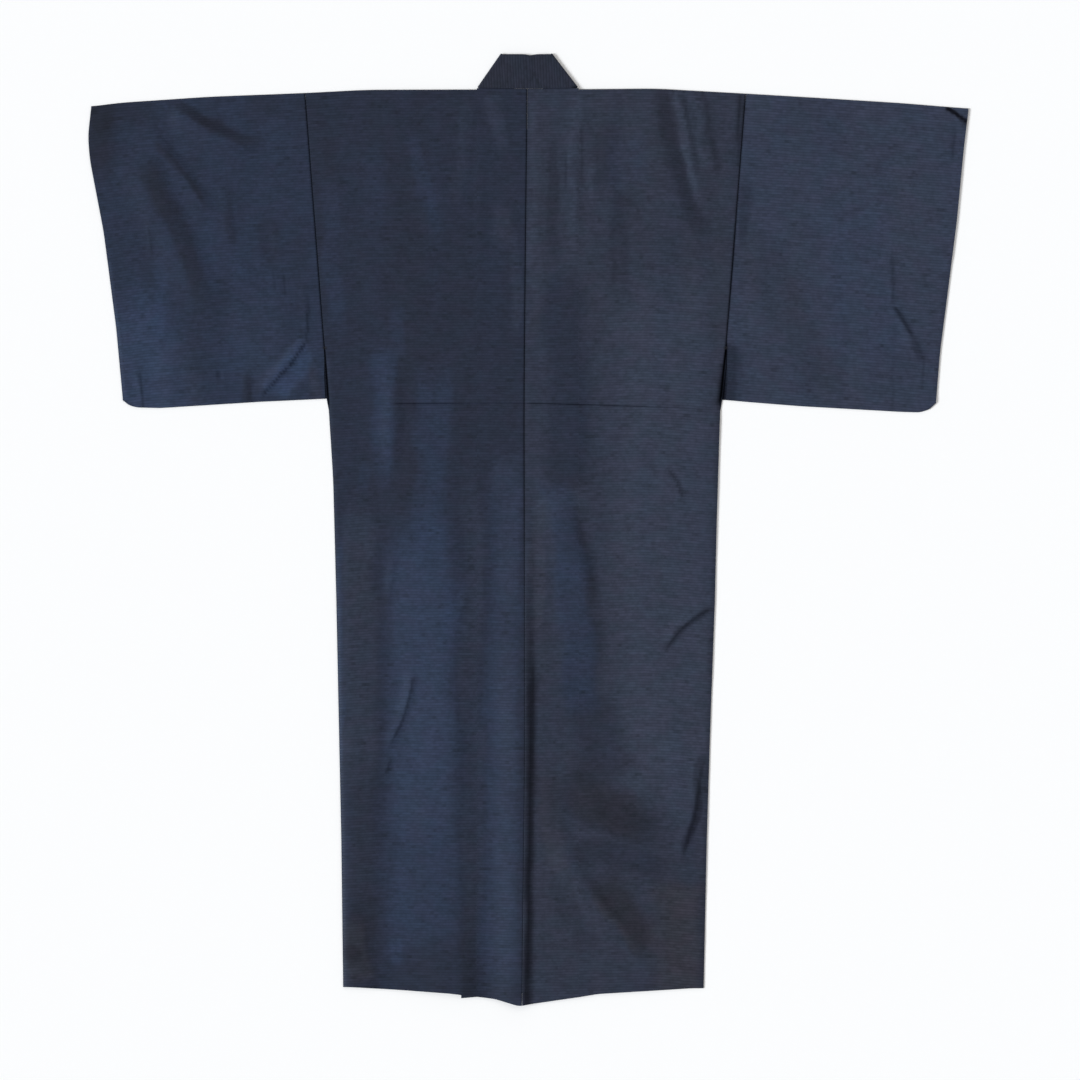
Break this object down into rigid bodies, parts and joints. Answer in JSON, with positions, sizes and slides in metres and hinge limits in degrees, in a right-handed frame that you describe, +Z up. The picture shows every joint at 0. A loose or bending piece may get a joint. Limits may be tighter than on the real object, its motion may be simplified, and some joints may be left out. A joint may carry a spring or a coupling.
{
  "type": "men's kimono laid flat, back up",
  "caption": "Men's kimono in dark indigo ribbed silk, laid flat with its back up, sleeves spread, collar folded under.",
  "frame": {"origin": "under the middle of the outline, on the surface that the kimono lies on", "axes": "+Z up from the surface to the back of the kimono, +Y towards the collar, +X towards the right sleeve"},
  "size_m": [1.4082, 1.5234, 0.0129],
  "materials": {
    "cloth": "ribbed indigo silk with a low sheen",
    "collar_cloth": "the same ribbed silk turned so that its ribs run across the collar"
  },
  "bodies": {
    "root": {"body_left": "cloth", "body_right": "cloth", "sleeve_left": "cloth", "sleeve_right": "cloth", "overlap_left": "cloth", "overlap_right": "cloth", "collar": "collar_cloth"}
  },
  "joints": []
}
